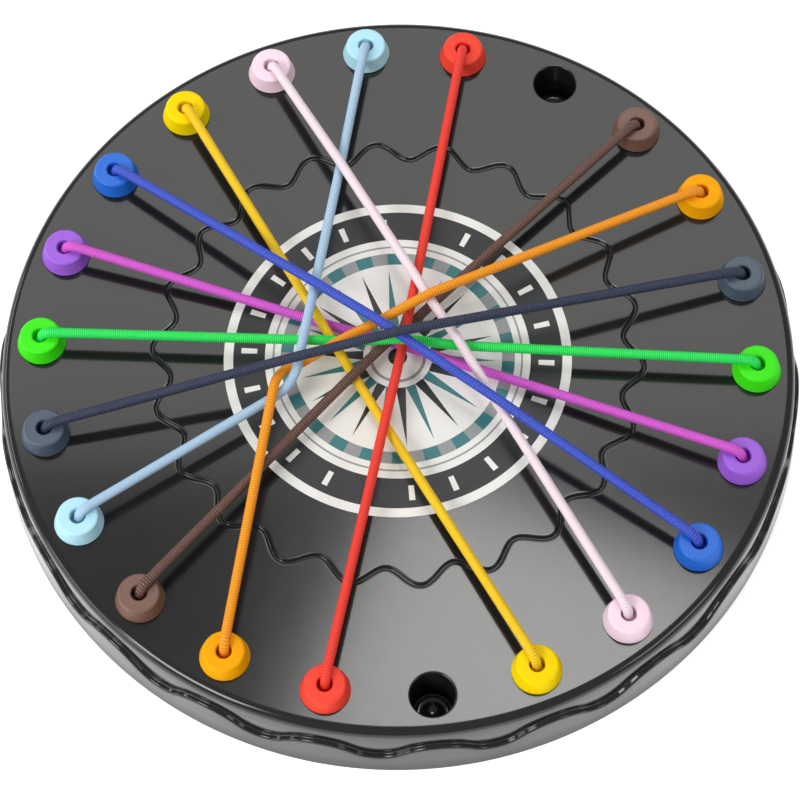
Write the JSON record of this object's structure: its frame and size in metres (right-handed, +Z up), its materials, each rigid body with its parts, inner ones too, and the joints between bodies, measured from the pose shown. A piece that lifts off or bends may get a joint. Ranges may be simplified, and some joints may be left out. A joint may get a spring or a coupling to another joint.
{
  "type": "elastic cord untangling board",
  "caption": "Round black board with a ring of sockets, coloured pegs standing in them, and an elastic cord of the same colour between the pegs of each pair; the cords cross in the middle.",
  "frame": {"origin": "centre of the underside, where the skirt stands on the table", "axes": "+Z up out of the board's top face; -Y towards the front empty socket; +Y towards the back"},
  "size_m": [0.256, 0.256, 0.0445],
  "materials": {
    "board_plastic": "glossy black moulded plastic",
    "cover_plastic": "matte black moulded plastic",
    "screw_steel": "plain steel",
    "label_print": "thin satin film printed with plain rings and ticks",
    "peg_light_blue": "satin moulded plastic",
    "cord_light_blue": "braided textile sheath over a rubber core",
    "peg_red": "satin moulded plastic",
    "cord_red": "braided textile sheath over a rubber core",
    "peg_brown": "satin moulded plastic",
    "cord_brown": "braided textile sheath over a rubber core",
    "peg_orange": "satin moulded plastic",
    "cord_orange": "braided textile sheath over a rubber core",
    "peg_navy": "satin moulded plastic",
    "cord_navy": "braided textile sheath over a rubber core",
    "peg_green": "satin moulded plastic",
    "cord_green": "braided textile sheath over a rubber core",
    "peg_purple": "satin moulded plastic",
    "cord_purple": "braided textile sheath over a rubber core",
    "peg_blue": "satin moulded plastic",
    "cord_blue": "braided textile sheath over a rubber core",
    "peg_pink": "satin moulded plastic",
    "cord_pink": "braided textile sheath over a rubber core",
    "peg_yellow": "satin moulded plastic",
    "cord_yellow": "braided textile sheath over a rubber core"
  },
  "bodies": {
    "board": {"board_shell": "board_plastic", "base_cover": "cover_plastic", "cover_screws": "screw_steel", "centre_label": "label_print", "cord_light_blue": "cord_light_blue", "cord_red": "cord_red", "cord_brown": "cord_brown", "cord_orange": "cord_orange", "cord_navy": "cord_navy", "cord_green": "cord_green", "cord_purple": "cord_purple", "cord_blue": "cord_blue", "cord_pink": "cord_pink", "cord_yellow": "cord_yellow"},
    "travel_light_blue_1": {"knot_light_blue_1": "cord_light_blue"},
    "turn_light_blue_1": {"peg_light_blue_1": "peg_light_blue"},
    "travel_light_blue_2": {"knot_light_blue_2": "cord_light_blue"},
    "turn_light_blue_2": {"peg_light_blue_2": "peg_light_blue"},
    "travel_red_1": {"knot_red_1": "cord_red"},
    "turn_red_1": {"peg_red_1": "peg_red"},
    "travel_red_2": {"knot_red_2": "cord_red"},
    "turn_red_2": {"peg_red_2": "peg_red"},
    "travel_brown_1": {"knot_brown_1": "cord_brown"},
    "turn_brown_1": {"peg_brown_1": "peg_brown"},
    "travel_brown_2": {"knot_brown_2": "cord_brown"},
    "turn_brown_2": {"peg_brown_2": "peg_brown"},
    "travel_orange_1": {"knot_orange_1": "cord_orange"},
    "turn_orange_1": {"peg_orange_1": "peg_orange"},
    "travel_orange_2": {"knot_orange_2": "cord_orange"},
    "turn_orange_2": {"peg_orange_2": "peg_orange"},
    "travel_navy_1": {"knot_navy_1": "cord_navy"},
    "turn_navy_1": {"peg_navy_1": "peg_navy"},
    "travel_navy_2": {"knot_navy_2": "cord_navy"},
    "turn_navy_2": {"peg_navy_2": "peg_navy"},
    "travel_green_1": {"knot_green_1": "cord_green"},
    "turn_green_1": {"peg_green_1": "peg_green"},
    "travel_green_2": {"knot_green_2": "cord_green"},
    "turn_green_2": {"peg_green_2": "peg_green"},
    "travel_purple_1": {"knot_purple_1": "cord_purple"},
    "turn_purple_1": {"peg_purple_1": "peg_purple"},
    "travel_purple_2": {"knot_purple_2": "cord_purple"},
    "turn_purple_2": {"peg_purple_2": "peg_purple"},
    "travel_blue_1": {"knot_blue_1": "cord_blue"},
    "turn_blue_1": {"peg_blue_1": "peg_blue"},
    "travel_blue_2": {"knot_blue_2": "cord_blue"},
    "turn_blue_2": {"peg_blue_2": "peg_blue"},
    "travel_pink_1": {"knot_pink_1": "cord_pink"},
    "turn_pink_1": {"peg_pink_1": "peg_pink"},
    "travel_pink_2": {"knot_pink_2": "cord_pink"},
    "turn_pink_2": {"peg_pink_2": "peg_pink"},
    "travel_yellow_1": {"knot_yellow_1": "cord_yellow"},
    "turn_yellow_1": {"peg_yellow_1": "peg_yellow"},
    "travel_yellow_2": {"knot_yellow_2": "cord_yellow"},
    "turn_yellow_2": {"peg_yellow_2": "peg_yellow"}
  },
  "joints": [
    {"name": "lift_light_blue_1", "type": "slide", "parent": "board", "child": "travel_light_blue_1", "axis": [0, 0, 1], "range_m": [0, 0.03], "deforming": ["cord_light_blue"]},
    {"name": "spin_light_blue_1", "type": "hinge", "parent": "travel_light_blue_1", "child": "turn_light_blue_1", "pos_m": [0, 0.113, 0.025], "axis": [0, 0, 1], "continuous": true},
    {"name": "lift_light_blue_2", "type": "slide", "parent": "board", "child": "travel_light_blue_2", "axis": [0, 0, 1], "range_m": [0, 0.03], "deforming": ["cord_light_blue"]},
    {"name": "spin_light_blue_2", "type": "hinge", "parent": "travel_light_blue_2", "child": "turn_light_blue_2", "pos_m": [-0.10279, -0.04694, 0.025], "axis": [0, 0, 1], "continuous": true},
    {"name": "lift_red_1", "type": "slide", "parent": "board", "child": "travel_red_1", "axis": [0, 0, 1], "range_m": [0, 0.03], "deforming": ["cord_red"]},
    {"name": "spin_red_1", "type": "hinge", "parent": "travel_red_1", "child": "turn_red_1", "pos_m": [0.03184, 0.10842, 0.025], "axis": [0, 0, 1], "continuous": true},
    {"name": "lift_red_2", "type": "slide", "parent": "board", "child": "travel_red_2", "axis": [0, 0, 1], "range_m": [0, 0.03], "deforming": ["cord_red"]},
    {"name": "spin_red_2", "type": "hinge", "parent": "travel_red_2", "child": "turn_red_2", "pos_m": [-0.03184, -0.10842, 0.025], "axis": [0, 0, 1], "continuous": true},
    {"name": "lift_brown_1", "type": "slide", "parent": "board", "child": "travel_brown_1", "axis": [0, 0, 1], "range_m": [0, 0.03], "deforming": ["cord_brown"]},
    {"name": "spin_brown_1", "type": "hinge", "parent": "travel_brown_1", "child": "turn_brown_1", "pos_m": [0.0854, 0.074, 0.025], "axis": [0, 0, 1], "continuous": true},
    {"name": "lift_brown_2", "type": "slide", "parent": "board", "child": "travel_brown_2", "axis": [0, 0, 1], "range_m": [0, 0.03], "deforming": ["cord_brown"]},
    {"name": "spin_brown_2", "type": "hinge", "parent": "travel_brown_2", "child": "turn_brown_2", "pos_m": [-0.0854, -0.074, 0.025], "axis": [0, 0, 1], "continuous": true},
    {"name": "lift_orange_1", "type": "slide", "parent": "board", "child": "travel_orange_1", "axis": [0, 0, 1], "range_m": [0, 0.03], "deforming": ["cord_orange"]},
    {"name": "spin_orange_1", "type": "hinge", "parent": "travel_orange_1", "child": "turn_orange_1", "pos_m": [0.10279, 0.04694, 0.025], "axis": [0, 0, 1], "continuous": true},
    {"name": "lift_orange_2", "type": "slide", "parent": "board", "child": "travel_orange_2", "axis": [0, 0, 1], "range_m": [0, 0.03], "deforming": ["cord_orange"]},
    {"name": "spin_orange_2", "type": "hinge", "parent": "travel_orange_2", "child": "turn_orange_2", "pos_m": [-0.06109, -0.09506, 0.025], "axis": [0, 0, 1], "continuous": true},
    {"name": "lift_navy_1", "type": "slide", "parent": "board", "child": "travel_navy_1", "axis": [0, 0, 1], "range_m": [0, 0.03], "deforming": ["cord_navy"]},
    {"name": "spin_navy_1", "type": "hinge", "parent": "travel_navy_1", "child": "turn_navy_1", "pos_m": [0.11185, 0.01608, 0.025], "axis": [0, 0, 1], "continuous": true},
    {"name": "lift_navy_2", "type": "slide", "parent": "board", "child": "travel_navy_2", "axis": [0, 0, 1], "range_m": [0, 0.03], "deforming": ["cord_navy"]},
    {"name": "spin_navy_2", "type": "hinge", "parent": "travel_navy_2", "child": "turn_navy_2", "pos_m": [-0.11185, -0.01608, 0.025], "axis": [0, 0, 1], "continuous": true},
    {"name": "lift_green_1", "type": "slide", "parent": "board", "child": "travel_green_1", "axis": [0, 0, 1], "range_m": [0, 0.03], "deforming": ["cord_green"]},
    {"name": "spin_green_1", "type": "hinge", "parent": "travel_green_1", "child": "turn_green_1", "pos_m": [0.11185, -0.01608, 0.025], "axis": [0, 0, 1], "continuous": true},
    {"name": "lift_green_2", "type": "slide", "parent": "board", "child": "travel_green_2", "axis": [0, 0, 1], "range_m": [0, 0.03], "deforming": ["cord_green"]},
    {"name": "spin_green_2", "type": "hinge", "parent": "travel_green_2", "child": "turn_green_2", "pos_m": [-0.11185, 0.01608, 0.025], "axis": [0, 0, 1], "continuous": true},
    {"name": "lift_purple_1", "type": "slide", "parent": "board", "child": "travel_purple_1", "axis": [0, 0, 1], "range_m": [0, 0.03], "deforming": ["cord_purple"]},
    {"name": "spin_purple_1", "type": "hinge", "parent": "travel_purple_1", "child": "turn_purple_1", "pos_m": [0.10279, -0.04694, 0.025], "axis": [0, 0, 1], "continuous": true},
    {"name": "lift_purple_2", "type": "slide", "parent": "board", "child": "travel_purple_2", "axis": [0, 0, 1], "range_m": [0, 0.03], "deforming": ["cord_purple"]},
    {"name": "spin_purple_2", "type": "hinge", "parent": "travel_purple_2", "child": "turn_purple_2", "pos_m": [-0.10279, 0.04694, 0.025], "axis": [0, 0, 1], "continuous": true},
    {"name": "lift_blue_1", "type": "slide", "parent": "board", "child": "travel_blue_1", "axis": [0, 0, 1], "range_m": [0, 0.03], "deforming": ["cord_blue"]},
    {"name": "spin_blue_1", "type": "hinge", "parent": "travel_blue_1", "child": "turn_blue_1", "pos_m": [0.0854, -0.074, 0.025], "axis": [0, 0, 1], "continuous": true},
    {"name": "lift_blue_2", "type": "slide", "parent": "board", "child": "travel_blue_2", "axis": [0, 0, 1], "range_m": [0, 0.03], "deforming": ["cord_blue"]},
    {"name": "spin_blue_2", "type": "hinge", "parent": "travel_blue_2", "child": "turn_blue_2", "pos_m": [-0.0854, 0.074, 0.025], "axis": [0, 0, 1], "continuous": true},
    {"name": "lift_pink_1", "type": "slide", "parent": "board", "child": "travel_pink_1", "axis": [0, 0, 1], "range_m": [0, 0.03], "deforming": ["cord_pink"]},
    {"name": "spin_pink_1", "type": "hinge", "parent": "travel_pink_1", "child": "turn_pink_1", "pos_m": [0.06109, -0.09506, 0.025], "axis": [0, 0, 1], "continuous": true},
    {"name": "lift_pink_2", "type": "slide", "parent": "board", "child": "travel_pink_2", "axis": [0, 0, 1], "range_m": [0, 0.03], "deforming": ["cord_pink"]},
    {"name": "spin_pink_2", "type": "hinge", "parent": "travel_pink_2", "child": "turn_pink_2", "pos_m": [-0.03184, 0.10842, 0.025], "axis": [0, 0, 1], "continuous": true},
    {"name": "lift_yellow_1", "type": "slide", "parent": "board", "child": "travel_yellow_1", "axis": [0, 0, 1], "range_m": [0, 0.03], "deforming": ["cord_yellow"]},
    {"name": "spin_yellow_1", "type": "hinge", "parent": "travel_yellow_1", "child": "turn_yellow_1", "pos_m": [0.03184, -0.10842, 0.025], "axis": [0, 0, 1], "continuous": true},
    {"name": "lift_yellow_2", "type": "slide", "parent": "board", "child": "travel_yellow_2", "axis": [0, 0, 1], "range_m": [0, 0.03], "deforming": ["cord_yellow"]},
    {"name": "spin_yellow_2", "type": "hinge", "parent": "travel_yellow_2", "child": "turn_yellow_2", "pos_m": [-0.06109, 0.09506, 0.025], "axis": [0, 0, 1], "continuous": true}
  ]
}
